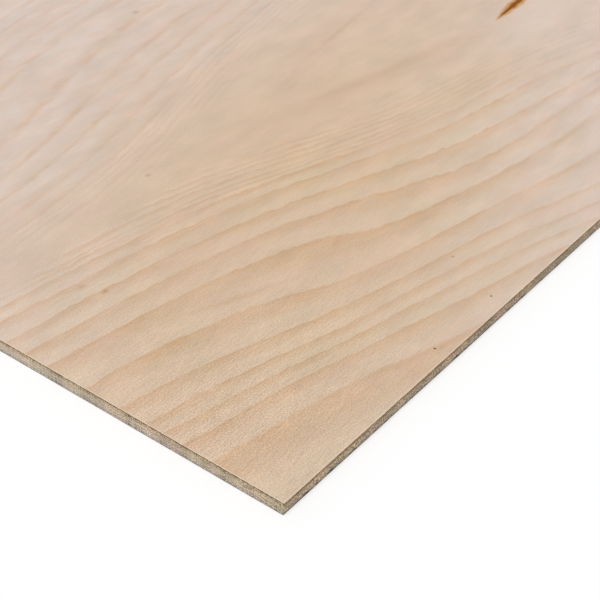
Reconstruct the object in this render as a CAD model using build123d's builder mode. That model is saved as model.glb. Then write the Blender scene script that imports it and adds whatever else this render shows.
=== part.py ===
from build123d import *
import os

# Three-ply birch plywood sheet: rotary-cut veneers glued face to face, the core with its grain
# turned across that of the two surface veneers, then trimmed square and sanded.
# It lies flat. +X runs along its length and the face grain, +Y across it and +Z up, and the
# origin is the middle of its underside. Sizes are in millimetres.

# Trimmed panel
sheet_length = 1220.0
sheet_width = 610.0

# Plies, as thick as sanding leaves them
face_thickness = 1.1
core_thickness = 1.8
back_thickness = 1.1

# Rounding that sanding leaves along the outer arrises of the face and of the back
face_arris_radius = 0.2
back_arris_radius = 0.2

# Glue lines, as heights above the underside
back_glue_line = back_thickness
face_glue_line = back_glue_line + core_thickness

# Back veneer: the sheet lies on its sanded underside
with BuildPart() as back_veneer:
    with BuildSketch(Plane.XY):
        Rectangle(sheet_length, sheet_width)
    extrude(amount=back_thickness)
    underside = back_veneer.faces().sort_by(Axis.Z)[0]
    fillet(underside.edges(), radius=back_arris_radius)
back_veneer.part.label = "back_veneer"

# Core veneer: the crossband, glued on both sides and left as sawn at its edges
with BuildPart() as core_veneer:
    with BuildSketch(Plane.XY.offset(back_glue_line)):
        Rectangle(sheet_length, sheet_width)
    extrude(amount=core_thickness)
core_veneer.part.label = "core_veneer"

# Face veneer: the show side
with BuildPart() as face_veneer:
    with BuildSketch(Plane.XY.offset(face_glue_line)):
        Rectangle(sheet_length, sheet_width)
    extrude(amount=face_thickness)
    show_side = face_veneer.faces().sort_by(Axis.Z)[-1]
    fillet(show_side.edges(), radius=face_arris_radius)
face_veneer.part.label = "face_veneer"

os.makedirs("parts", exist_ok=True)
for ply in (back_veneer, core_veneer, face_veneer):
    export_step(ply.part, f"parts/{ply.part.label}.step")
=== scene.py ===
"""Looks of a three-ply birch plywood sheet lying flat on a white studio floor.

The face and back plies show the figure of a peeled log, and the core, turned across them, shows only along
the sawn edges. Patterns are measured in millimetres from the sheet's near corner, along its length and
across it.
"""

import logging
import math
from collections.abc import Callable
from dataclasses import dataclass, fields
from enum import Enum, IntEnum
from typing import Any

import bmesh
import bpy
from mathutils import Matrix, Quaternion, Vector


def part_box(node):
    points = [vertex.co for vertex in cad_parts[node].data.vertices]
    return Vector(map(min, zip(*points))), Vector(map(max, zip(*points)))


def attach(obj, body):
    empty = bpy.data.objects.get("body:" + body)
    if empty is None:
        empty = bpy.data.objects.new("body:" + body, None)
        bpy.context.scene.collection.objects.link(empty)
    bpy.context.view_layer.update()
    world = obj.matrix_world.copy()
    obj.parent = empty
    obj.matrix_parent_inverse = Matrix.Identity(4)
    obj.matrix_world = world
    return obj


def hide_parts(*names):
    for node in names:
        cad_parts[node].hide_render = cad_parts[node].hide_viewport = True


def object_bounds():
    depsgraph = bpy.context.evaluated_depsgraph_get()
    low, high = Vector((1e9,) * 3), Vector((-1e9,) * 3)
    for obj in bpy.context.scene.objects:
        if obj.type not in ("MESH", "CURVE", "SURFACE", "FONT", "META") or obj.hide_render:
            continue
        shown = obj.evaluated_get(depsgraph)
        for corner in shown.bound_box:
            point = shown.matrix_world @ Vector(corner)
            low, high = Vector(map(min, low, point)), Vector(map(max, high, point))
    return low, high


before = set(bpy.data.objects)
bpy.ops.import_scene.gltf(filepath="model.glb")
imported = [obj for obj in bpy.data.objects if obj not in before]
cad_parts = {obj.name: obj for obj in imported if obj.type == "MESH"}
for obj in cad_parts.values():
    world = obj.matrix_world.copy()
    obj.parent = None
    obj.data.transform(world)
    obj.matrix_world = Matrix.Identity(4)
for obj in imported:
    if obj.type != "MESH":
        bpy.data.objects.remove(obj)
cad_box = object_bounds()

log = logging.getLogger("plywood_sheet")
MM = 0.001
# The map that the finish is to be baked onto.
BAKE_MAP = "OFBake"
# Layout of a ply's map, in shares of it: rows of edges at the foot, then the face, then the glued sides.
MAP_MARGIN = 0.003
ROW_MARGIN = 0.18
FACE_GAP = 0.005
FACE_TOP = 0.985
GLUED_TOP = (0.988, 0.992)
GLUED_UNDER = (0.994, 0.998)
# Noise varies about this value.
NOISE_MEAN = 0.5
# Index of refraction of wood.
WOOD_IOR = 1.5
# A unit vector runs along an axis where its part on that axis is over this.
ALIGNED = 0.9
WHITE = "#FFFFFF"

Socket = bpy.types.NodeSocket


def linear(code: str) -> tuple[float, float, float, float]:
    """Turn an sRGB hex colour into linear light, by the curve of the sRGB standard.

    Args:
        code: Colour such as "#D9C0A7".

    Returns:
        Red, green, blue and an alpha of 1.
    """
    channels = [int(code[i : i + 2], 16) / 255 for i in (1, 3, 5)]
    red, green, blue = [c / 12.92 if c <= 0.04045 else ((c + 0.055) / 1.055) ** 2.4 for c in channels]
    return red, green, blue, 1.0


@dataclass
class Drawing:
    """Node tree of a finish, and the place in millimetres that its patterns read."""

    tree: bpy.types.NodeTree
    place: Socket | None = None

    def add(self, kind: str, inputs: dict[Any, Any], **settings: Any) -> Any:
        """Add a shader node, set it up and link it.

        Args:
            kind: Type of the node, without the prefix of all shader nodes.
            inputs: A value, or an output of another node, for each input by its name or number.
            **settings: Properties of the node.

        Returns:
            The node's first output in use, or None for a node without outputs.
        """
        node = self.tree.nodes.new(f"ShaderNode{kind}")
        for name, value in settings.items():
            setattr(node, name, value)
        for key, value in inputs.items():
            if isinstance(value, Socket):
                self.tree.links.new(value, node.inputs[key])
            else:
                node.inputs[key].default_value = value
        return next((out for out in node.outputs if out.enabled), None)

    def measure_from(self, low: Vector) -> None:
        """Measure the place from a piece's lowest corner.

        Args:
            low: The corner in metres.
        """
        seen = self.add("TexCoord", {}).node.outputs["Object"]
        to_corner = {"Vector": seen, "Location": -low / MM, "Scale": (1 / MM, 1 / MM, 1 / MM)}
        self.place = self.add("Mapping", to_corner)

    def vary_hue(self, wood: Socket, noise: Socket, swing: float) -> Socket:
        """Let the hue of the wood swing with a noise.

        Args:
            wood: Colour of the wood.
            noise: First output of a noise.
            swing: How far each of red, green and blue swings.

        Returns:
            The varied colour.
        """
        hue = {0: noise.node.outputs["Color"], 1: (swing,) * 3, 2: (1 - swing / 2,) * 3}
        hue = self.add("VectorMath", hue, operation="MULTIPLY_ADD")
        return self.add("VectorMath", {0: wood, 1: hue}, operation="MULTIPLY")


def new_finish(name: str) -> tuple[bpy.types.Material, Drawing]:
    """Make a material without nodes.

    Args:
        name: Name of the finish.

    Returns:
        The material and its drawing.
    """
    material = bpy.data.materials.new(name)
    material.use_nodes = True
    material.node_tree.nodes.clear()
    return material, Drawing(material.node_tree)


class Run(Enum):
    """Axis along which an edge of the sheet runs."""

    ALONG = 0
    ACROSS = 1


@dataclass(frozen=True)
class Span:
    """Stretch of a value over which something sets in."""

    start: float
    end: float

    def of(self, value: Socket, low: Any = 0.0, high: Any = 1.0) -> dict[str, Any]:
        """Inputs for a map from the value, over this stretch, to numbers from low to high."""
        inputs = {"Value": value, "From Min": self.start, "From Max": self.end}
        return {**inputs, "To Min": low, "To Max": high}


@dataclass(frozen=True)
class Grain:
    """Size in millimetres of one cell of a pattern: along the fibres or the edge, and across."""

    length: float
    width: float

    def noise(self, draw: Drawing, detail: float = 1.0, run: Run | None = None) -> Socket:
        """Draw noise with cells of this size.

        Args:
            draw: Drawing of the finish.
            detail: Number of finer layers.
            run: Axis of the edge that the noise is on, or None on a flat side.

        Returns:
            A number that varies from cell to cell.
        """
        along, across = 1 / self.length, 1 / self.width
        cells = {Run.ALONG: (along, 0.0, across), Run.ACROSS: (0.0, along, across)}
        cell = {0: draw.place, 1: cells.get(run, (along, across, 0.0))}
        cell = draw.add("VectorMath", cell, operation="MULTIPLY")
        return draw.add("TexNoise", {"Vector": cell, "Scale": 1.0, "Detail": detail})


@dataclass(frozen=True)
class Heart:
    """Axis about which the ring lines fold, where the knife cut deepest into the rings.

    The rings spread from the axis by up to fan, in a wave along the sheet that is reach long per radian.
    """

    across: float
    fan: float
    reach: float
    start: float = 0.0
    fold: float = 4.0


@dataclass(frozen=True)
class Swell:
    """Oval about one place on the sheet, such as a swelling of the log that lifts the rings by its rise."""

    along: float
    across: float
    half_length: float
    half_width: float
    rise: float
    turn: float = 0.0

    def local(self, draw: Drawing) -> Socket:
        """Measure a place from the oval's middle.

        Args:
            draw: Drawing of the finish.

        Returns:
            The place in half sizes of the oval.
        """
        frame_of = {
            "Vector": draw.place,
            "Location": (self.along, self.across, 0),
            "Rotation": (0, 0, math.radians(self.turn)),
            "Scale": (self.half_length, self.half_width, 1 / MM),
        }
        return draw.add("Mapping", frame_of, vector_type="TEXTURE")

    def bell(self, draw: Drawing) -> Socket:
        """Draw the oval as a soft bell.

        Args:
            draw: Drawing of the finish.

        Returns:
            A number that falls from 1 in the middle to 0 far away.
        """
        offset = self.local(draw)
        square = draw.add("VectorMath", {0: offset, 1: offset}, operation="DOT_PRODUCT")
        square = draw.add("Math", {0: square, 1: -1.0}, operation="MULTIPLY")
        return draw.add("Math", {0: square}, operation="EXPONENT")


@dataclass(frozen=True)
class Fleck(Swell):
    """Stain or short streak in the wood, whose rise is its strength."""

    colour: str = "#6E5238"

    def paint(self, draw: Drawing, wood: Socket) -> Socket:
        """Lay the fleck over the wood's colour.

        Args:
            draw: Drawing of the finish.
            wood: Colour of the wood.

        Returns:
            The wood's colour with the fleck in it.
        """
        stain = draw.add("Math", {0: self.bell(draw), 1: self.rise}, operation="MULTIPLY")
        return draw.add("Mix", {0: stain, 6: wood, 7: linear(self.colour)}, data_type="RGBA")


@dataclass(frozen=True)
class PeeledFigure:
    """Pattern that the yearly rings make on a veneer peeled from a turning log.

    The rings are contour lines on the log's gently swelling surface, so they run along the grain as
    long flames.
    """

    hearts: tuple[Heart, ...]
    swells: tuple[Swell, ...]
    rings: tuple[float, ...]
    spacing: tuple[float, ...] = (13.0, 9.0, 7.0, 12.0, 17.0, 8.0, 10.0)
    highest: float = 330.0
    saddle: float = 90.0
    wander: float = 30.0
    wander_grain: Grain = Grain(240.0, 80.0)
    # Within calm of the near corner the rings stay as drawn, and from wild times as far they wander fully.
    calm: Grain = Grain(320.0, 230.0)
    wild: float = 1.5
    sway: float = 1.0
    sway_grain: Grain = Grain(26.0, 8.0)
    jitter: float = 0.75
    jitter_grain: Grain = Grain(5.0, 1.6)

    def levels(self) -> list[float]:
        """Levels of all ring lines: the ones chosen, then more with the same uneven spacing."""
        levels = list(self.rings)
        while levels[-1] < self.highest:
            levels.append(levels[-1] + self.spacing[len(levels) % len(self.spacing)])
        return levels

    def height(self, draw: Drawing) -> tuple[Socket, Socket]:
        """Work out the height of the log's surface, in millimetres.

        Args:
            draw: Drawing of the finish.

        Returns:
            The height, and the distance to the nearest heart.
        """
        axes = draw.add("SeparateXYZ", {0: draw.place}).node.outputs
        level, nearest = None, None
        for heart in self.hearts:
            offset = draw.add("Math", {0: axes["Y"], 1: heart.across}, operation="SUBTRACT")
            fold = draw.add("CombineXYZ", {0: offset, 1: heart.fold})
            spread = draw.add("VectorMath", {0: fold}, operation="LENGTH")
            turn = {0: axes["X"], 1: 1 / heart.reach, 2: heart.start}
            wave = draw.add("Math", turn, operation="MULTIPLY_ADD")
            wave = draw.add("Math", {0: wave}, operation="SINE")
            flank = draw.add("Math", {0: wave, 1: -heart.fan, 2: spread}, operation="MULTIPLY_ADD")
            if level is None:
                level, nearest = flank, spread
            else:
                both = {0: level, 1: flank, 2: self.saddle}
                level = draw.add("Math", both, operation="SMOOTH_MIN")
                nearest = draw.add("Math", {0: nearest, 1: spread}, operation="MINIMUM")
        for swell in self.swells:
            lift = {0: swell.bell(draw), 1: swell.rise, 2: level}
            level = draw.add("Math", lift, operation="MULTIPLY_ADD")
        return self.roughen(draw, axes, level), nearest

    def roughen(self, draw: Drawing, axes: Any, level: Socket) -> Socket:
        """Let the rings wander widely away from the near corner, and waver a little everywhere.

        Args:
            draw: Drawing of the finish.
            axes: The place as separate outputs.
            level: Smooth height of the log's surface.

        Returns:
            The height with both kinds of noise added.
        """
        past = []
        for axis, reach in (("X", self.calm.length), ("Y", self.calm.width)):
            away = Span(reach, self.wild * reach).of(axes[axis])
            past.append(draw.add("MapRange", away, interpolation_type="SMOOTHSTEP"))
        beyond = draw.add("Math", {0: past[0], 1: past[1]}, operation="MAXIMUM")
        for grain, swing, mask in (
            (self.wander_grain, self.wander, beyond),
            (self.sway_grain, self.sway, 1.0),
            (self.jitter_grain, self.jitter, 1.0),
        ):
            noise = grain.noise(draw)
            noise = draw.add("Math", {0: noise, 1: -NOISE_MEAN}, operation="ADD")
            noise = draw.add("Math", {0: noise, 1: mask}, operation="MULTIPLY")
            shift = {0: noise, 1: 2 * swing, 2: level}
            level = draw.add("Math", shift, operation="MULTIPLY_ADD")
        return level

    def ring_age(self, draw: Drawing, level: Socket) -> Socket:
        """Work out how far through its year the wood is at a height.

        Args:
            draw: Drawing of the finish.
            level: Height of the log's surface.

        Returns:
            A number from 0, just past a ring line, to 1, just before the next.
        """
        count = None
        levels = self.levels()
        for low, high in zip(levels, levels[1:]):
            year = draw.add("MapRange", {"Value": level, "From Min": low, "From Max": high})
            if count is None:
                count = year
            else:
                count = draw.add("Math", {0: count, 1: year}, operation="ADD")
        return draw.add("Math", {0: count}, operation="FRACT")


@dataclass(frozen=True)
class BarkPocket:
    """Short rust-brown spindle of bark that the tree grew over, with an orange stain round it."""

    along: float
    across: float
    half_length: float
    half_width: float
    turn: float
    bluntness: float = 0.7
    halo: float = 1.6
    fray: float = 0.8
    fray_grain: Grain = Grain(4.0, 1.1)
    # Depths in millimetres over which the bark and the stain set in.
    bark_depth: Span = Span(0.45, 1.3)
    stain_depth: Span = Span(0.0, 1.7)
    rim: str = "#C38F55"
    core: str = "#844A00"

    def paint(self, draw: Drawing, wood: Socket) -> Socket:
        """Lay the pocket over the wood's colour.

        Args:
            draw: Drawing of the finish.
            wood: Colour of the wood.

        Returns:
            The wood's colour with the pocket in it.
        """
        spindle = Swell(self.along, self.across, self.half_length, half_width=1.0, rise=0.0, turn=self.turn)
        axes = draw.add("SeparateXYZ", {0: spindle.local(draw)}).node.outputs
        taper = draw.add("Math", {0: axes["X"], 1: axes["X"]}, operation="MULTIPLY")
        taper = draw.add("Math", {0: 1.0, 1: taper}, operation="SUBTRACT", use_clamp=True)
        taper = draw.add("Math", {0: taper, 1: self.bluntness}, operation="POWER")
        fray = self.fray_grain.noise(draw, detail=2.0)
        fray = {"Value": fray, "To Min": self.half_width - self.fray, "To Max": self.half_width + self.fray}
        girth = draw.add("MapRange", fray)
        girth = draw.add("Math", {0: girth, 1: taper}, operation="MULTIPLY")
        offset = draw.add("Math", {0: axes["Y"]}, operation="ABSOLUTE")
        bark = draw.add("Math", {0: girth, 1: offset}, operation="SUBTRACT")
        stain = draw.add("Math", {0: girth, 1: self.halo}, operation="MULTIPLY")
        stain = draw.add("Math", {0: stain, 1: offset}, operation="SUBTRACT")
        bark = draw.add("MapRange", self.bark_depth.of(bark), interpolation_type="SMOOTHSTEP")
        stain = draw.add("MapRange", self.stain_depth.of(stain), interpolation_type="SMOOTHSTEP")
        brown = draw.add("Mix", {0: bark, 6: linear(self.rim), 7: linear(self.core)}, data_type="RGBA")
        return draw.add("Mix", {0: stain, 6: wood, 7: brown}, data_type="RGBA")


@dataclass(frozen=True)
class RingStyle:
    """How the rings are drawn in one colour of wood.

    The dark line sets in over the onset, and starts to fade and ends at shares of the ring's width. It and
    the band behind it have depths of shade about the wood's mean one. Along its length the line keeps from
    least to most of its strength.
    """

    onset: float
    line_start: float
    line_end: float
    line_depth: float
    band_depth: float
    mean: float
    least: float
    most: float


@dataclass(frozen=True)
class RotaryBirch:
    """Raw birch, rotary-cut and sanded: silky and nearly matt, with soft bands behind dark ring lines.

    The wood is honey-coloured in patches, and paler and pinker elsewhere, where the rings are soft broken
    dashes.
    """

    name: str
    figure: PeeledFigure
    patches: tuple[Swell, ...]
    pocket: BarkPocket | None = None
    flecks: tuple[Fleck, ...] = ()
    honey_early: str = "#D5BDA2"
    honey_late: str = "#CCA986"
    honey_rings: RingStyle = RingStyle(
        onset=0.06, line_start=0.04, line_end=0.16, line_depth=0.3, band_depth=0.6,
        mean=0.28, least=0.8, most=1.4,
    )
    pale_early: str = "#DACAC0"
    pale_late: str = "#D1B39B"
    # How honey-coloured the wood is where its rings stop looking pale.
    ring_change: float = 0.65
    pale_rings: RingStyle = RingStyle(
        onset=0.3, line_start=0.12, line_end=0.5, line_depth=0.46, band_depth=0.2,
        mean=0.25, least=0.0, most=1.4,
    )
    # Shares of a ring's width over which the band behind its line fades.
    band_fade: Span = Span(0.1, 0.75)
    # Distances from a heart, in millimetres, over which the rings come clear.
    clear: Span = Span(4.3, 8.5)
    # Heights over which the rings grow bold.
    bold: Span = Span(-5.0, 25.0)
    blush: str = "#D6B7A3"
    blush_depth: float = 0.35
    # The span of a noise, here and below, is the part of its range over which its effect sets in.
    blush_span: Span = Span(0.4, 0.75)
    # Faint warmth drifts between the patches, in cells about as large as the first patch.
    drift: float = 0.8
    drift_depth: float = 0.6
    drift_span: Span = Span(0.5, 0.8)
    # Past the first patch, the warm ones are ragged along the grain.
    ragged: Grain = Grain(140.0, 22.0)
    ragged_span: Span = Span(0.4, 0.6)
    least_ragged: float = 0.35
    # The inner rings, and fine streaks beside them, show most where the rings are closest.
    close_rings: Swell = Swell(
        along=78.0, across=100.0, half_length=125.0, half_width=14.0, rise=0.65, turn=-8.0
    )
    least_inner: float = 0.15
    most_inner: float = 0.85
    least_streak: float = 0.1
    streak: Grain = Grain(24.0, 1.7)
    broken: Grain = Grain(12.0, 5.0)
    broken_span: Span = Span(0.42, 0.6)
    # Longer stretches of each ring are faint or bold.
    uneven: Grain = Grain(38.0, 11.0)
    uneven_span: Span = Span(0.3, 0.7)
    least_uneven: float = 0.75
    most_uneven: float = 1.3
    mottle: Grain = Grain(48.0, 24.0)
    cloud: Grain = Grain(20.0, 7.5)
    cloud_tone: float = 0.115
    cloud_hue: float = 0.06
    # The fibres and the fuzz of their ends are finer than this, and are drawn wider so that they show.
    fibre: Grain = Grain(5.0, 0.5)
    fuzz: Grain = Grain(0.55, 0.4)
    fuzz_share: float = 0.68
    # The corner, handled most, has the roughest nap.
    nap: Swell = Swell(along=15.0, across=30.0, half_length=75.0, half_width=58.0, rise=1.5)
    least_nap: float = 0.12
    # Painted highlight: a pale rim along the arris, where it catches the light.
    arris_highlight: str = "#E6D4BE"
    arris_highlight_depth: float = 0.45
    arris_highlight_span: Span = Span(0.3, 0.6)
    shine: float = 0.1
    roughness: float = 0.58
    uneven_gloss: float = 0.08
    relief: float = 0.05
    relief_strength: float = 0.25

    def material(self, low: Vector, high: Vector) -> bpy.types.Material:
        """Make the finish for a sheet.

        Args:
            low: Lowest corner of the sheet, in metres.
            high: Highest corner of the sheet, in metres.

        Returns:
            The material.
        """
        material, draw = new_finish(self.name)
        draw.measure_from(low)
        fibre = self.fibres(draw)
        wood = self.rings(draw, self.honey_patch(draw))
        wood = self.tint(draw, fibre, wood)
        # Painted highlight along the arris.
        wood = self.paint_arris_highlight(draw, (high - low) / MM, wood)
        if self.pocket:
            wood = self.pocket.paint(draw, wood)
        dull, silky = self.roughness + self.uneven_gloss, self.roughness - self.uneven_gloss
        gloss = draw.add("MapRange", {"Value": fibre, "To Min": silky, "To Max": dull})
        relief = {"Strength": self.relief_strength, "Distance": self.relief * MM, "Height": fibre}
        relief = draw.add("Bump", relief)
        surface = {"Base Color": wood, "Roughness": gloss, "Normal": relief, "IOR": WOOD_IOR}
        surface["Specular IOR Level"] = self.shine
        surface = draw.add("BsdfPrincipled", surface)
        draw.add("OutputMaterial", {"Surface": surface})
        return material

    def fibres(self, draw: Drawing) -> Socket:
        """Draw the fine fibres along the grain.

        Args:
            draw: Drawing of the finish.

        Returns:
            A number about 0.5 that varies from fibre to fibre.
        """
        fibre = self.fibre.noise(draw)
        fuzz = self.fuzz.noise(draw)
        return draw.add("Mix", {0: self.fuzz_share, 2: fibre, 3: fuzz})

    def honey_patch(self, draw: Drawing) -> Socket:
        """Mask the warm patches, and fainter ones between them.

        Args:
            draw: Drawing of the finish.

        Returns:
            A number from 0, pale, to 1, honey-coloured.
        """
        cell = self.patches[0].local(draw)
        drift = draw.add("TexNoise", {"Vector": cell, "Scale": self.drift, "Detail": 2.0})
        drift = self.drift_span.of(drift, high=self.drift_depth)
        honey = draw.add("MapRange", drift)
        ragged = self.ragged.noise(draw, detail=2.0)
        ragged = draw.add("MapRange", self.ragged_span.of(ragged, low=self.least_ragged))
        for swell in self.patches:
            patch = {0: swell.bell(draw), 1: swell.rise}
            patch = draw.add("Math", patch, operation="MULTIPLY", use_clamp=True)
            if swell is not self.patches[0]:
                patch = draw.add("Math", {0: patch, 1: ragged}, operation="MULTIPLY")
            honey = draw.add("Math", {0: honey, 1: patch}, operation="MAXIMUM")
        return honey

    def rings(self, draw: Drawing, honey: Socket) -> Socket:
        """Colour the wood by its rings.

        Args:
            draw: Drawing of the finish.
            honey: How honey-coloured the wood is.

        Returns:
            The colour's output.
        """
        level, nearest = self.figure.height(draw)
        style = {}
        for trait in fields(RingStyle):
            ends = {"Value": honey, "From Max": self.ring_change}
            ends["To Min"] = getattr(self.pale_rings, trait.name)
            ends["To Max"] = getattr(self.honey_rings, trait.name)
            style[trait.name] = draw.add("MapRange", ends)
        # The rings are faint where the cut runs level with them, along the heart.
        clear = draw.add("MapRange", self.clear.of(nearest), interpolation_type="SMOOTHSTEP")
        close = self.close_rings.bell(draw)
        inner = {"Value": close, "To Min": self.least_inner, "To Max": self.most_inner}
        inner = draw.add("MapRange", inner)
        bold = draw.add("MapRange", self.bold.of(level, inner, 1.0))
        broken = self.broken_span.of(self.broken.noise(draw, detail=2.0), style["least"], style["most"])
        broken = draw.add("MapRange", broken)
        uneven = self.uneven_span.of(self.uneven.noise(draw), self.least_uneven, self.most_uneven)
        uneven = draw.add("MapRange", uneven)
        strength = clear
        for share in (bold, broken, uneven):
            strength = draw.add("Math", {0: strength, 1: share}, operation="MULTIPLY")
        shade = {0: strength, 2: style["mean"], 3: self.ring_shade(draw, level, style)}
        shade = draw.add("Mix", shade, clamp_factor=False)
        streak = self.streaks(draw, level, close, clear)
        shade = draw.add("Math", {0: shade, 1: streak}, operation="ADD", use_clamp=True)
        early = {0: honey, 6: linear(self.pale_early), 7: linear(self.honey_early)}
        late = {0: honey, 6: linear(self.pale_late), 7: linear(self.honey_late)}
        early = draw.add("Mix", early, data_type="RGBA")
        late = draw.add("Mix", late, data_type="RGBA")
        return draw.add("Mix", {0: shade, 6: early, 7: late}, data_type="RGBA")

    def ring_shade(self, draw: Drawing, level: Socket, style: dict[str, Socket]) -> Socket:
        """Shade one ring after another: a thin dark line, and a band that fades towards the next one.

        Args:
            draw: Drawing of the finish.
            level: Height of the log's surface.
            style: Traits of the ring style at each place.

        Returns:
            The depth of shade, from 0 to about 1.
        """
        age = self.figure.ring_age(draw, level)
        onset = {"Value": age, "From Max": style["onset"]}
        onset = draw.add("MapRange", onset, interpolation_type="SMOOTHSTEP")
        fade = self.band_fade.of(age, style["band_depth"], 0.0)
        fade = draw.add("MapRange", fade, interpolation_type="SMOOTHSTEP")
        line = {"Value": age, "From Min": style["line_start"], "From Max": style["line_end"]}
        line = {**line, "To Min": style["line_depth"], "To Max": 0.0}
        line = draw.add("MapRange", line, interpolation_type="SMOOTHSTEP")
        shade = draw.add("Math", {0: fade, 1: line}, operation="ADD")
        return draw.add("Math", {0: shade, 1: onset}, operation="MULTIPLY")

    def streaks(self, draw: Drawing, level: Socket, close: Socket, clear: Socket) -> Socket:
        """Draw fine streaks that run beside the rings.

        Args:
            draw: Drawing of the finish.
            level: Height of the log's surface.
            close: How close the rings are.
            clear: How clear the rings are.

        Returns:
            A small shade, about 0.
        """
        along = draw.add("SeparateXYZ", {0: draw.place}).node.outputs["X"]
        beside = Drawing(draw.tree, draw.add("CombineXYZ", {0: along, 1: level}))
        streak = self.streak.noise(beside, detail=2.0)
        streak = draw.add("MapRange", {"Value": streak, "To Min": -1.0, "To Max": 1.0})
        depth = {0: close, 1: self.close_rings.rise, 2: self.least_streak}
        depth = draw.add("Math", depth, operation="MULTIPLY_ADD")
        depth = draw.add("Math", {0: depth, 1: clear}, operation="MULTIPLY")
        return draw.add("Math", {0: streak, 1: depth}, operation="MULTIPLY")

    def tint(self, draw: Drawing, fibre: Socket, wood: Socket) -> Socket:
        """Vary the wood with a pink mottle, light and dark fibres, and a few brown flecks.

        Args:
            draw: Drawing of the finish.
            fibre: Noise along the fibres.
            wood: Colour of the ringed wood.

        Returns:
            The varied colour.
        """
        mottle = self.mottle.noise(draw, detail=2.0)
        mottle = draw.add("MapRange", self.blush_span.of(mottle, high=self.blush_depth))
        wood = draw.add("Mix", {0: mottle, 6: wood, 7: linear(self.blush)}, data_type="RGBA")
        cloud = self.cloud.noise(draw, detail=2.0)
        wood = draw.vary_hue(wood, cloud, self.cloud_hue)
        tone = {"Value": cloud, "To Min": 1 - self.cloud_tone, "To Max": 1 + self.cloud_tone}
        tone = draw.add("MapRange", tone)
        wood = draw.add("VectorMath", {0: wood, "Scale": tone}, operation="SCALE")
        depth = draw.add("VectorMath", {0: self.nap.local(draw)}, operation="LENGTH")
        depth = draw.add("Math", {0: depth, 1: -1.0}, operation="MULTIPLY")
        depth = draw.add("Math", {0: depth}, operation="EXPONENT")
        depth = draw.add("Math", {0: depth, 1: self.nap.rise, 2: self.least_nap}, operation="MULTIPLY_ADD")
        grain = draw.add("Math", {0: fibre, 1: -NOISE_MEAN}, operation="ADD")
        grain = draw.add("Math", {0: grain, 1: depth, 2: 1.0}, operation="MULTIPLY_ADD")
        wood = draw.add("VectorMath", {0: wood, "Scale": grain}, operation="SCALE")
        for fleck in self.flecks:
            wood = fleck.paint(draw, wood)
        return wood

    def paint_arris_highlight(self, draw: Drawing, size: Vector, wood: Socket) -> Socket:
        """Paint the wood pale along the arris, a painted highlight where the arris catches the light.

        Args:
            draw: Drawing of the finish.
            size: Size of the sheet in millimetres.
            wood: Colour of the wood.

        Returns:
            The colour with a painted highlight along the rim.
        """
        inset = draw.add("VectorMath", {0: draw.place, 1: size / 2}, operation="SUBTRACT")
        inset = draw.add("VectorMath", {0: inset}, operation="ABSOLUTE")
        inset = draw.add("VectorMath", {0: size / 2, 1: inset}, operation="SUBTRACT")
        axes = draw.add("SeparateXYZ", {0: inset}).node.outputs
        inset = draw.add("Math", {0: axes["X"], 1: axes["Y"]}, operation="MINIMUM")
        lit_rim = draw.add("MapRange", self.arris_highlight_span.of(inset, self.arris_highlight_depth, 0.0))
        return draw.add("Mix", {0: lit_rim, 6: wood, 7: linear(self.arris_highlight)}, data_type="RGBA")


class EdgeGrain(Enum):
    """Which way the fibres meet a sawn edge, with the size of a stroke of the pattern."""

    END = Grain(0.5, 0.9)
    LONG = Grain(4.5, 0.4)


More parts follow.
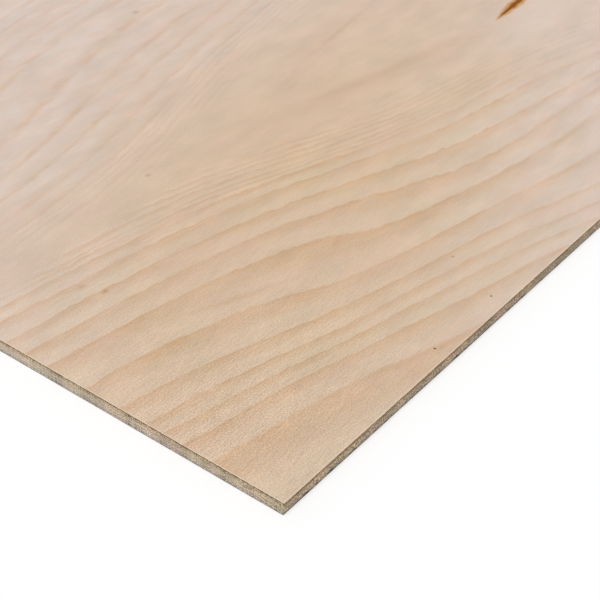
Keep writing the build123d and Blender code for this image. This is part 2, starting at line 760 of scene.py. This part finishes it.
@dataclass(frozen=True)
class SawnBirch:
    """Raw birch edge as a fine saw leaves it: dull and fuzzy, darker where the cut fibres hold dirt."""

    name: str
    grain: EdgeGrain
    run: Run
    wood: str
    pore: str
    pore_edge: float = 0.08
    pit: str = "#6B553F"
    pit_start: float = 0.6
    pit_rise: float = 0.12
    pit_depth: float = 0.75
    # Painted shade: a dark line along the outer arris, standing in for the shadow that falls there.
    arris_shade: str = "#4F3A24"
    arris_shade_depth: float = 0.38
    # Share of the painted arris shade's depth that is fully dark, and how much of it its faintest parts
    # keep.
    arris_shade_full: float = 0.6
    least_arris_shade: float = 0.35
    arris_shade_span: Span = Span(0.36, 0.56)
    # Torn fibre ends are finer than this, and are drawn larger so that they show.
    fuzz: Grain = Grain(0.38, 0.38)
    fuzz_share: float = 0.65
    wear: Grain = Grain(9.0, 4.0)
    wear_span: Span = Span(0.3, 0.7)
    worn_tone: float = 0.78
    fresh_tone: float = 1.2
    hue_swing: float = 0.25
    chip: Grain = Grain(1.6, 0.5)
    soil: tuple[Fleck, ...] = ()
    roughness: float = 0.85
    relief: float = 0.1
    relief_strength: float = 0.4

    def material(self, low: Vector, arris: float | None) -> bpy.types.Material:
        """Make the finish for one pair of a ply's edges.

        Args:
            low: Lowest corner of the ply, in metres.
            arris: Height of the ply's outer arris over that corner in millimetres, if it has one.

        Returns:
            The material.
        """
        material, draw = new_finish(self.name)
        draw.measure_from(low)
        stroke = self.grain.value.noise(draw, run=self.run)
        fuzz = self.fuzz.noise(draw, run=self.run)
        wear = self.wear.noise(draw, detail=3.0, run=self.run)
        chip = self.chip.noise(draw, run=self.run)
        stroke = draw.add("Mix", {0: self.fuzz_share, 2: stroke, 3: fuzz})
        dark = Span(NOISE_MEAN - self.pore_edge, NOISE_MEAN + self.pore_edge).of(stroke, 1.0, 0.0)
        dark = draw.add("MapRange", dark)
        wood = draw.add("Mix", {0: dark, 6: linear(self.wood), 7: linear(self.pore)}, data_type="RGBA")
        tone = draw.add("MapRange", self.wear_span.of(wear, self.worn_tone, self.fresh_tone))
        wood = draw.add("VectorMath", {0: wood, "Scale": tone}, operation="SCALE")
        wood = draw.vary_hue(wood, wear, self.hue_swing)
        pits = Span(self.pit_start, self.pit_start + self.pit_rise).of(chip, high=self.pit_depth)
        pits = draw.add("MapRange", pits)
        wood = draw.add("Mix", {0: pits, 6: wood, 7: linear(self.pit)}, data_type="RGBA")
        # Painted shade along the outer arris.
        if arris is not None:
            wood = self.paint_arris_shade(draw, arris, chip, wood)
        for fleck in self.soil:
            wood = fleck.paint(draw, wood)
        relief = {"Strength": self.relief_strength, "Distance": self.relief * MM, "Height": stroke}
        relief = draw.add("Bump", relief)
        surface = {"Base Color": wood, "Roughness": self.roughness, "Normal": relief, "IOR": WOOD_IOR}
        surface = draw.add("BsdfPrincipled", surface)
        draw.add("OutputMaterial", {"Surface": surface})
        return material

    def paint_arris_shade(self, draw: Drawing, arris: float, chip: Socket, wood: Socket) -> Socket:
        """Paint a patchy dark line just inside the arris: painted shade, and at the foot of the sheet
        painted contact shadow.

        Args:
            draw: Drawing of the finish.
            arris: Height of the arris in millimetres.
            chip: Noise along the edge.
            wood: Colour of the sawn wood.

        Returns:
            The colour with the painted shade line.
        """
        height = draw.add("SeparateXYZ", {0: draw.place}).node.outputs["Z"]
        depth = draw.add("Math", {0: height, 1: arris}, operation="SUBTRACT")
        depth = draw.add("Math", {0: depth}, operation="ABSOLUTE")
        near = Span(self.arris_shade_full * self.arris_shade_depth, self.arris_shade_depth).of(depth, 1.0, 0.0)
        near = draw.add("MapRange", near)
        patchy_shade = draw.add("MapRange", self.arris_shade_span.of(chip, self.least_arris_shade, 1.0))
        near = draw.add("Math", {0: near, 1: patchy_shade}, operation="MULTIPLY")
        return draw.add("Mix", {0: near, 6: wood, 7: linear(self.arris_shade)}, data_type="RGBA")


@dataclass(frozen=True)
class GluedBirch:
    """Inner side of a veneer, stained by the glue film that bonds it to the next one."""

    name: str
    wood: str = "#C7AA8A"
    film: str = "#B8977A"
    # Size in millimetres of the film's uneven spread.
    spread: float = 250.0
    roughness: float = 0.7

    def material(self) -> bpy.types.Material:
        """Make the finish.

        Returns:
            The material.
        """
        material, draw = new_finish(self.name)
        seen = draw.add("TexCoord", {}).node.outputs["Object"]
        spread = draw.add("TexNoise", {"Vector": seen, "Scale": 1 / (self.spread * MM), "Detail": 2.0})
        wood = draw.add("Mix", {0: spread, 6: linear(self.wood), 7: linear(self.film)}, data_type="RGBA")
        surface = draw.add("BsdfPrincipled", {"Base Color": wood, "Roughness": self.roughness})
        draw.add("OutputMaterial", {"Surface": surface})
        return material


class Show(Enum):
    """Side of a ply that can be seen in the finished sheet."""

    TOP = 1
    UNDER = -1
    NONE = 0


class Skin(IntEnum):
    """Finish of a part of a ply's surface, by its place in the ply's list of materials."""

    END = 0
    SIDE = 1
    GLUED = 2
    FACE = 3


@dataclass
class Ply:
    """One veneer of the sheet, modelled over its CAD node.

    The sheet's cells are fine along the rim, where the saw left the edge and the glue lines slightly uneven.
    """

    name: str
    node: str
    slot: str
    show: Show
    ends: SawnBirch
    sides: SawnBirch
    face: RotaryBirch | None = None
    cells_along: int = 64
    cells_across: int = 32
    rim_cuts: int = 5
    edge_cuts: int = 2
    arris: float = 0.2
    arris_steps: int = 3
    saw_wave: float = 0.1
    glue_wave: float = 0.26
    wave_length: float = 14.0
    # A point this near to a glued side, in millimetres, lies on it.
    touch: float = 0.01
    # Faces that meet at less than this angle, in degrees, are smoothed into each other.
    crease: float = 35.0
    # Slope of the arris, as the upward part of its normal, below which it takes the edge's finish with its
    # painted shade line.
    end_shade_slope: float = 0.8
    side_shade_slope: float = 0.6
    # Rows that the sawn edges take on the map, and the share of its height that they fill.
    edge_rows: int = 6
    edge_share: float = 0.09

    def __post_init__(self) -> None:
        """Take the ply's place from the frame."""
        self.low, self.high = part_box(self.node)

    def build(self) -> bpy.types.Object:
        """Model and dress the ply.

        Returns:
            The finished piece.
        """
        piece = self.blank()
        self.saw(piece)
        self.dress(piece)
        self.lay_out_map(piece)
        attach(piece, "root")
        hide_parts(self.node)
        return piece

    def blank(self) -> bpy.types.Object:
        """Cut a cube of the ply's size into cells, and ease the arris of a side that shows.

        Returns:
            The mesh object, with its place in its mesh.
        """
        bpy.ops.object.select_all(action="DESELECT")
        bpy.ops.mesh.primitive_cube_add(size=1.0, location=(self.low + self.high) / 2)
        piece = bpy.context.object
        piece.name = self.name
        piece.data.name = self.name
        piece.scale = self.high - self.low
        bpy.ops.object.transform_apply(location=True, rotation=True, scale=True)
        bpy.ops.object.mode_set(mode="EDIT")
        for wanted, cuts in (
            (lambda edge: self.heads(edge, 0), self.cells_along - 1),
            (lambda edge: self.heads(edge, 1), self.cells_across - 1),
            (self.on_rim, self.rim_cuts),
            (lambda edge: self.heads(edge, 2), self.edge_cuts),
        ):
            self.pick_edges(piece, wanted)
            bpy.ops.mesh.subdivide(number_cuts=cuts)
        if self.show is not Show.NONE:
            shown = self.high.z if self.show is Show.TOP else self.low.z
            near = 0.5 * self.arris * MM
            self.pick_edges(piece, lambda edge: self.on_rim(edge) and abs(edge.verts[0].co.z - shown) < near)
            bpy.ops.mesh.bevel(offset=self.arris * MM, segments=self.arris_steps, affect="EDGES")
        bpy.ops.object.mode_set(mode="OBJECT")
        return piece

    def pick_edges(self, piece: bpy.types.Object, wanted: Callable[[bmesh.types.BMEdge], bool]) -> None:
        """Select the edges that pass a test, and nothing else.

        Args:
            piece: The ply in edit mode.
            wanted: Test of one edge.
        """
        bpy.ops.mesh.select_mode(type="EDGE")
        bpy.ops.mesh.select_all(action="DESELECT")
        mesh = bmesh.from_edit_mesh(piece.data)
        for edge in [edge for edge in mesh.edges if wanted(edge)]:
            edge.select_set(True)
        bmesh.update_edit_mesh(piece.data)

    def heads(self, edge: bmesh.types.BMEdge, axis: int) -> bool:
        """Tell whether an edge runs along an axis."""
        step = edge.verts[1].co - edge.verts[0].co
        return abs(step[axis]) > ALIGNED * step.length

    def on_rim(self, edge: bmesh.types.BMEdge) -> bool:
        """Tell whether an edge lies between a flat side and a sawn side."""
        return len({round(abs(face.normal.z)) for face in edge.link_faces}) == 2

    def saw(self, piece: bpy.types.Object) -> None:
        """Make the sawn sides and the glue lines slightly wavy.

        Args:
            piece: The ply.
        """
        texture = bpy.data.textures.new(f"{self.name}_wave", "CLOUDS")
        texture.noise_scale = self.wave_length * MM
        near = 2 * self.arris * MM
        points = piece.data.vertices
        ends = [p.index for p in points if self.high.x - abs(p.co.x) < near]
        sides = [p.index for p in points if self.high.y - abs(p.co.y) < near]
        rim = set(ends) | set(sides)
        glued = []
        if self.show is not Show.TOP:
            glued += [i for i in rim if self.high.z - points[i].co.z < self.touch * MM]
        if self.show is not Show.UNDER:
            glued += [i for i in rim if points[i].co.z - self.low.z < self.touch * MM]
        for axis, members, swing in (
            ("Z", glued, self.glue_wave),
            ("X", ends, self.saw_wave),
            ("Y", sides, self.saw_wave),
        ):
            group = piece.vertex_groups.new(name=f"wave_{axis.lower()}")
            group.add(members, 1.0, "REPLACE")
            wave = piece.modifiers.new(group.name, "DISPLACE")
            wave.texture = texture
            wave.vertex_group = group.name
            wave.direction = axis
            wave.strength = swing * MM
            bpy.ops.object.modifier_apply(modifier=wave.name)
        bpy.ops.object.shade_smooth_by_angle(angle=math.radians(self.crease))

    def dress(self, piece: bpy.types.Object) -> None:
        """Give each side of the ply its finish.

        Args:
            piece: The ply.
        """
        arris = {Show.TOP: (self.high.z - self.low.z) / MM, Show.UNDER: 0.0}.get(self.show)
        piece.data.materials.append(self.ends.material(self.low, arris))
        piece.data.materials.append(self.sides.material(self.low, arris))
        piece.data.materials.append(GluedBirch(f"{self.name}_glued").material())
        if self.face:
            piece.data.materials.append(self.face.material(self.low, self.high))
        for face in piece.data.polygons:
            normal = face.normal
            at_end = abs(normal.x) > abs(normal.y)
            if self.face and normal.z * self.show.value > (self.end_shade_slope if at_end else self.side_shade_slope):
                face.material_index = Skin.FACE
            elif abs(normal.z) > ALIGNED:
                face.material_index = Skin.GLUED
            else:
                face.material_index = Skin.END if at_end else Skin.SIDE

    def lay_out_map(self, piece: bpy.types.Object) -> None:
        """Lay the ply out on its own map, the side that shows large and the thin edges in rows below it.

        Args:
            piece: The ply.
        """
        layer = piece.data.uv_layers.new(name=BAKE_MAP)
        for face in piece.data.polygons:
            for loop in face.loop_indices:
                spot = piece.data.vertices[piece.data.loops[loop].vertex_index].co
                if face.material_index in (Skin.END, Skin.SIDE):
                    layer.data[loop].uv = self.edge_spot(spot, face)
                elif face.material_index == Skin.FACE:
                    layer.data[loop].uv = self.flat_spot(spot, self.edge_share + FACE_GAP, FACE_TOP)
                elif face.normal.z > 0:
                    layer.data[loop].uv = self.flat_spot(spot, *GLUED_TOP)
                else:
                    layer.data[loop].uv = self.flat_spot(spot, *GLUED_UNDER)

    def flat_spot(self, spot: Vector, bottom: float, top: float) -> tuple[float, float]:
        """Place a point of a flat side on the map.

        Args:
            spot: The point in metres.
            bottom: Lower edge of the side's band.
            top: Upper edge of the side's band.

        Returns:
            The point on the map.
        """
        size = self.high - self.low
        along = (spot.x - self.low.x) / size.x
        across = (spot.y - self.low.y) / size.y
        return MAP_MARGIN + (1 - 2 * MAP_MARGIN) * along, bottom + (top - bottom) * across

    def edge_spot(self, spot: Vector, face: bpy.types.MeshPolygon) -> tuple[float, float]:
        """Place a point of a sawn side on the map.

        Args:
            spot: The point in metres.
            face: Face that the point belongs to.

        Returns:
            The point on the map.
        """
        size = self.high - self.low
        at_end = face.material_index == Skin.END
        axis, facing = (1, 0) if at_end else (0, 1)
        row_length = 2 * (size.x + size.y) / self.edge_rows
        row = math.floor((face.center[axis] - self.low[axis]) / row_length)
        along = (spot[axis] - self.low[axis]) / row_length - row
        first = 0 if face.normal[facing] < 0 else self.edge_rows // 2
        if not at_end:
            first += round(size.y / row_length)
        inset = min(self.high.x - abs(spot.x), self.high.y - abs(spot.y))
        up = (spot.z - self.low.z + self.show.value * inset) / size.z
        height = (first + row + ROW_MARGIN + (1 - 2 * ROW_MARGIN) * up) * self.edge_share / self.edge_rows
        return MAP_MARGIN + (1 - 2 * MAP_MARGIN) * along, height


@dataclass
class Studio:
    """White floor, soft light from the left and the camera close over the sheet's near corner."""

    floor_span: float = 40.0
    floor_gap: float = 0.02
    shadow_fill: float = 0.5
    # The paper's colour in the light that it throws back.
    paper: str = "#CAC5BE"
    sky_light: float = 0.45
    sun_light: float = 1.9
    sun_elevation: float = 65.0
    sun_spread: float = 30.0
    lens: float = 90.0
    azimuth: float = -55.84
    elevation: float = 36.97
    roll: float = 4.24
    distance: float = 429.0
    aim_along: float = 68.3
    aim_across: float = 46.1
    # Nearest and farthest distance that the camera sees, in metres.
    clip_start: float = 0.01
    clip_end: float = 200.0

    def build(self) -> None:
        """Set up the floor, the light and the camera."""
        self.lay_floor()
        self.light()
        self.place_camera()
        bpy.context.scene.view_settings.view_transform = "Standard"

    def lay_floor(self) -> None:
        """Lay a wide floor just under the sheet, white to the eye but grey in the light it throws back."""
        bpy.ops.object.select_all(action="DESELECT")
        bpy.ops.mesh.primitive_plane_add(size=self.floor_span, location=(0, 0, -self.floor_gap * MM))
        floor = bpy.context.object
        floor.name = "studio_floor"
        material, draw = new_finish("white_paper")
        seen = self.seen_directly(draw)
        paper = draw.add("Mix", {0: seen, 6: linear(self.paper), 7: linear(WHITE)}, data_type="RGBA")
        surface = draw.add("BsdfDiffuse", {"Color": paper})
        # Part of the white seen is the paper's own, so the sheet's shadow stays faint.
        white = draw.add("Emission", {"Color": linear(WHITE), "Strength": 1.0})
        fill = draw.add("Math", {0: seen, 1: self.shadow_fill}, operation="MULTIPLY")
        surface = draw.add("MixShader", {0: fill, 1: surface, 2: white})
        draw.add("OutputMaterial", {"Surface": surface})
        floor.data.materials.append(material)

    def seen_directly(self, draw: Drawing) -> Socket:
        """Tell rays that show the background from rays that light the object.

        Args:
            draw: Drawing of the floor or the sky.

        Returns:
            A number that is 1 for camera, glossy and transmission rays.
        """
        path = draw.add("LightPath", {}).node.outputs
        seen = draw.add("Math", {0: path["Is Camera Ray"], 1: path["Is Glossy Ray"]}, operation="MAXIMUM")
        seen = {0: seen, 1: path["Is Transmission Ray"]}
        return draw.add("Math", seen, operation="MAXIMUM")

    def light(self) -> None:
        """Light the sheet with an even white sky and one broad lamp from the left."""
        world = bpy.data.worlds.new("studio_sky")
        world.use_nodes = True
        draw = Drawing(world.node_tree)
        draw.tree.nodes.clear()
        level = {"Value": self.seen_directly(draw), "To Min": self.sky_light, "To Max": 1.0}
        level = draw.add("MapRange", level)
        sky = draw.add("Background", {"Color": linear(WHITE), "Strength": level})
        draw.add("OutputWorld", {"Surface": sky})
        bpy.context.scene.world = world
        bpy.ops.object.select_all(action="DESELECT")
        bpy.ops.object.light_add(type="SUN")
        lamp = bpy.context.object
        lamp.name = "broad_lamp"
        lamp.rotation_euler = (0, math.radians(self.sun_elevation - 90), 0)
        lamp.data.energy = self.sun_light
        lamp.data.angle = math.radians(self.sun_spread)

    def place_camera(self) -> None:
        """Put a long lens over the near corner, turned a little as in the photograph."""
        low, high = cad_box
        aim = Vector((low.x + self.aim_along * MM, low.y + self.aim_across * MM, high.z))
        turn, rise = math.radians(self.azimuth), math.radians(self.elevation)
        back = Vector((math.sin(turn) * math.cos(rise), -math.cos(turn) * math.cos(rise), math.sin(rise)))
        bpy.ops.object.select_all(action="DESELECT")
        bpy.ops.object.camera_add(location=aim + back * self.distance * MM)
        camera = bpy.context.object
        camera.name = "corner_camera"
        camera.rotation_mode = "QUATERNION"
        level = (-back).to_track_quat("-Z", "Y")
        camera.rotation_quaternion = level @ Quaternion((0, 0, 1), math.radians(self.roll))
        camera.data.lens = self.lens
        camera.data.clip_start = self.clip_start
        camera.data.clip_end = self.clip_end
        bpy.context.scene.camera = camera


# Each swell, patch and fleck gives along, across, half length, half width and rise, in that order.
FACE_FIGURE = PeeledFigure(
    hearts=(
        Heart(across=117.0, fan=70.0, reach=330.0),
        Heart(across=452.0, fan=60.0, reach=210.0, start=-1.1),
    ),
    swells=(
        Swell(95.0, 117.0, 65.0, 55.0, 8.0),
        Swell(115.0, 42.0, 70.0, 18.0, -10.0),
        Swell(185.0, 10.0, 45.0, 38.0, -7.0),
        Swell(90.0, 0.0, 35.0, 15.0, -4.0),
        Swell(240.0, 72.0, 50.0, 20.0, 5.0),
        Swell(0.0, 60.0, 20.0, 70.0, -2.0),
        Swell(160.0, 210.0, 60.0, 25.0, -9.0),
        Swell(105.0, 195.0, 45.0, 25.0, -6.0),
        Swell(480.0, 300.0, 160.0, 60.0, 22.0),
        Swell(620.0, 150.0, 180.0, 55.0, -20.0),
        Swell(850.0, 60.0, 150.0, 50.0, 18.0),
        Swell(900.0, 540.0, 220.0, 60.0, 20.0),
        Swell(1050.0, 230.0, 140.0, 60.0, -16.0),
    ),
    rings=(
        -105.0, -92.0, -78.0, -60.0, -44.0, -26.0, -6.0, -3.5, -1.0, 1.5, 4.5, 6.2, 8.5, 13.5, 21.0, 28.0,
        36.0, 49.0, 61.0, 69.5, 76.0, 82.5, 92.0, 118.0,
    ),
)
FACE_FLECKS = (
    Fleck(106.6, 5.2, 0.25, 0.22, 2.2, colour="#260A00"),
    Fleck(75.1, 4.6, 0.25, 0.22, 2.2, colour="#260A00"),
    Fleck(35.0, 90.5, 1.1, 0.7, 0.6, colour="#A07A45"),
    Fleck(32.0, 97.0, 1.5, 1.1, 0.2),
    Fleck(89.0, 122.0, 1.1, 0.7, 0.3),
    Fleck(172.0, 201.0, 1.4, 1.1, 0.3),
    Fleck(116.0, 24.3, 0.6, 0.5, 0.45),
    Fleck(55.0, 61.0, 19.0, 1.3, 0.4, turn=-20.0, colour="#C6A27E"),
    Fleck(118.0, 14.0, 38.0, 14.0, 0.24, colour="#D1B698"),
    Fleck(211.0, 135.0, 18.0, 1.0, 0.22, turn=9.0, colour="#B08A6C"),
    Fleck(205.0, 104.0, 44.0, 2.6, 0.3, turn=-9.0, colour="#BE9A7C"),
    Fleck(218.0, 76.0, 22.0, 5.0, 0.3, colour="#C9AB8C"),
    Fleck(281.0, 86.0, 24.0, 8.0, 0.5, colour="#E0D0C2"),
    Fleck(410.0, 332.0, 1.2, 0.6, 0.7),
    Fleck(566.0, 121.0, 0.8, 0.5, 0.8),
    Fleck(705.0, 478.0, 1.6, 0.8, 0.5),
    Fleck(868.0, 266.0, 1.0, 0.6, 0.7),
    Fleck(1093.0, 93.0, 1.5, 0.8, 0.5),
    Fleck(1152.0, 518.0, 0.8, 0.5, 0.8),
)
# Marks on the near edges reach this far into the sheet, so that the far edges stay clean.
EDGE_REACH = 40.0
# Dark spots along the foot of the near side, each by its place along it, its half length and its strength.
SIDE_FOOT_SPOTS = tuple(
    Fleck(along, 0.0, half_length, EDGE_REACH, strength, colour="#120D08")
    for along, half_length, strength in (
        (9.5, 1.1, 0.9),
        (13.8, 0.7, 0.6),
        (19.5, 1.6, 0.6),
        (30.2, 1.0, 0.4),
        (80.0, 1.5, 0.9),
        (84.3, 1.0, 0.5),
        (108.5, 1.0, 0.4),
        (116.5, 1.3, 0.7),
    )
)
# Grime on the core above the dark spots, and grey dust on it at the near end, past the corner.
SIDE_GRIME = Fleck(150.0, 0.0, 70.0, EDGE_REACH, 0.3, colour="#6A5A48")
END_DUST = Fleck(0.0, 130.0, EDGE_REACH, 70.0, 0.5, colour="#D6CCC0")
FACE_PATCHES = (
    Swell(76.0, 58.0, 200.0, 72.0, 1.15, turn=22.0),
    Swell(500.0, 50.0, 170.0, 38.0, 0.8, turn=5.0),
    Swell(590.0, 345.0, 250.0, 60.0, 0.95, turn=-6.0),
    Swell(830.0, 165.0, 230.0, 48.0, 0.85, turn=8.0),
    Swell(1050.0, 480.0, 210.0, 62.0, 1.0, turn=-4.0),
    Swell(290.0, 530.0, 230.0, 46.0, 0.75, turn=4.0),
    Swell(1180.0, 90.0, 120.0, 70.0, 0.8),
)
BACK_PATCHES = (
    Swell(250.0, 330.0, 260.0, 70.0, 0.9, turn=6.0),
    Swell(720.0, 120.0, 280.0, 60.0, 0.95, turn=-5.0),
    Swell(980.0, 500.0, 240.0, 65.0, 0.9, turn=4.0),
    Swell(90.0, 80.0, 170.0, 50.0, 0.7),
)
BACK_FIGURE = PeeledFigure(
    hearts=(
        Heart(across=90.0, fan=50.0, reach=260.0, start=0.8),
        Heart(across=360.0, fan=75.0, reach=310.0, start=-0.5),
        Heart(across=590.0, fan=40.0, reach=200.0, start=1.6),
    ),
    swells=(
        Swell(300.0, 220.0, 170.0, 60.0, -18.0),
        Swell(760.0, 420.0, 200.0, 70.0, 20.0),
        Swell(1000.0, 160.0, 160.0, 50.0, -15.0),
    ),
    rings=(-130.0, -118.0),
    wander=22.0,
    calm=Grain(0.1, 0.1),
)


def main() -> None:
    """Build the sheet ply by ply, then the studio."""
    logging.basicConfig(level=logging.INFO, format="%(name)s: %(message)s")
    pocket = BarkPocket(along=287.0, across=98.7, half_length=26.5, half_width=2.0, turn=6.0)
    # The core's fibres run across the sheet, and those of the outer plies along it.
    back_ply = Ply(
        "back_ply", "back_veneer", "back_birch", Show.UNDER,
        # Along the foot of the sheet, the back ply's arris shade is painted contact shadow, darkest and
        # deepest on the near side.
        ends=SawnBirch("back_ply_end", EdgeGrain.END, Run.ACROSS, "#DDCFC1", "#908372", arris_shade="#6E6253"),
        sides=SawnBirch(
            "back_ply_side", EdgeGrain.LONG, Run.ALONG, "#E4D6C4", "#877A64",
            pit="#2E241B", pit_start=0.57, chip=Grain(2.4, 0.6),
            arris_shade="#140F0A", arris_shade_depth=0.6, soil=SIDE_FOOT_SPOTS,
        ),
        face=RotaryBirch("back_birch", BACK_FIGURE, BACK_PATCHES),
    )
    core_ply = Ply(
        "core_ply", "core_veneer", "core_birch", Show.NONE,
        ends=SawnBirch(
            "core_ply_end", EdgeGrain.LONG, Run.ACROSS, "#E9D8C0", "#A6937A", soil=(END_DUST,)
        ),
        sides=SawnBirch(
            "core_ply_side", EdgeGrain.END, Run.ALONG, "#FCE8CC", "#9A876C",
            fuzz=Grain(0.8, 0.45), soil=(SIDE_GRIME,),
        ),
        edge_rows=24,
        edge_share=0.9,
    )
    face_ply = Ply(
        "face_ply", "face_veneer", "face_birch", Show.TOP,
        # The face ply's edges have painted shade along the top arris.
        ends=SawnBirch("face_ply_end", EdgeGrain.END, Run.ACROSS, "#E4CFB3", "#937A5C", arris_shade="#5A442D"),
        sides=SawnBirch(
            "face_ply_side", EdgeGrain.LONG, Run.ALONG, "#E3C39D", "#7C5D3A", arris_shade="#32230F", arris_shade_depth=0.36
        ),
        face=RotaryBirch("face_birch", FACE_FIGURE, FACE_PATCHES, pocket, FACE_FLECKS),
    )
    plies = (back_ply, core_ply, face_ply)
    for ply in plies:
        piece = ply.build()
        log.info("%s: %d faces over %s", piece.name, len(piece.data.polygons), ply.node)
    Studio().build()
    log.info("studio: floor, sky, lamp and camera")


if __name__ == "__main__":
    main()
